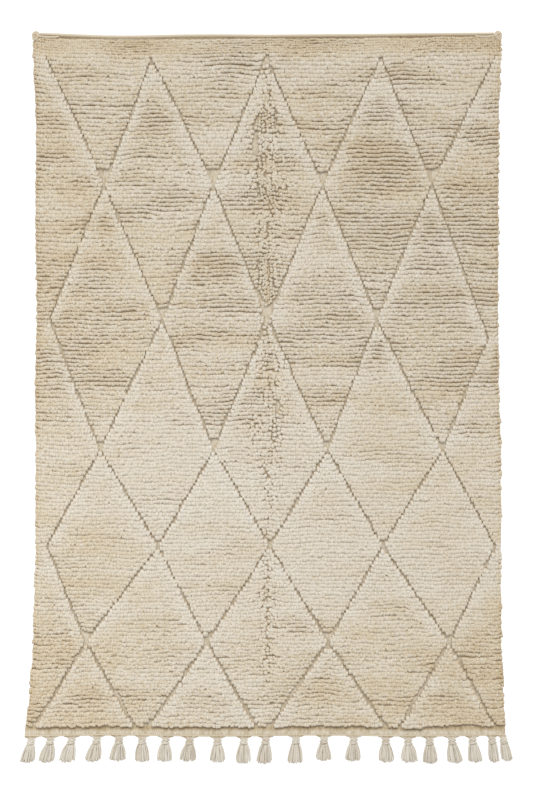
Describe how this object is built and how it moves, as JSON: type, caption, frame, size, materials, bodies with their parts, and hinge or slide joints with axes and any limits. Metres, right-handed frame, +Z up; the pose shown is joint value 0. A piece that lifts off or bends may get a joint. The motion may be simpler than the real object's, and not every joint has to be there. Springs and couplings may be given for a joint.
{
  "type": "beni ourain rug",
  "caption": "Hand-knotted wool pile rug with a lozenge lattice of bare furrows, a knotted head cord and a tasselled foot.",
  "frame": {"origin": "middle of the flat underside, on the floor that the rug lies on", "axes": "+Y along the rug towards its corded head end, the tassels at -Y; +Z up out of the pile; +X to the right when the pile is up and the head is away"},
  "size_m": [2.1129, 3.1315, 0.026],
  "materials": {
    "wool_pile": "undyed cream wool pile on a wool ground, matt",
    "wool_cord": "undyed twined wool cord, matt",
    "wool_tassel": "undyed loose wool yarn, matt"
  },
  "bodies": {
    "root": {"pile_field": "wool_pile", "head_cord": "wool_cord", "foot_cord": "wool_cord", "corner_knot_left": "wool_cord", "corner_knot_right": "wool_cord", "tassel_01": "wool_tassel", "tassel_02": "wool_tassel", "tassel_03": "wool_tassel", "tassel_04": "wool_tassel", "tassel_05": "wool_tassel", "tassel_06": "wool_tassel", "tassel_07": "wool_tassel", "tassel_08": "wool_tassel", "tassel_09": "wool_tassel", "tassel_10": "wool_tassel", "tassel_11": "wool_tassel", "tassel_12": "wool_tassel", "tassel_13": "wool_tassel", "tassel_14": "wool_tassel", "tassel_15": "wool_tassel", "tassel_16": "wool_tassel", "tassel_17": "wool_tassel", "tassel_18": "wool_tassel", "tassel_19": "wool_tassel", "tassel_20": "wool_tassel", "tassel_21": "wool_tassel"}
  },
  "joints": []
}
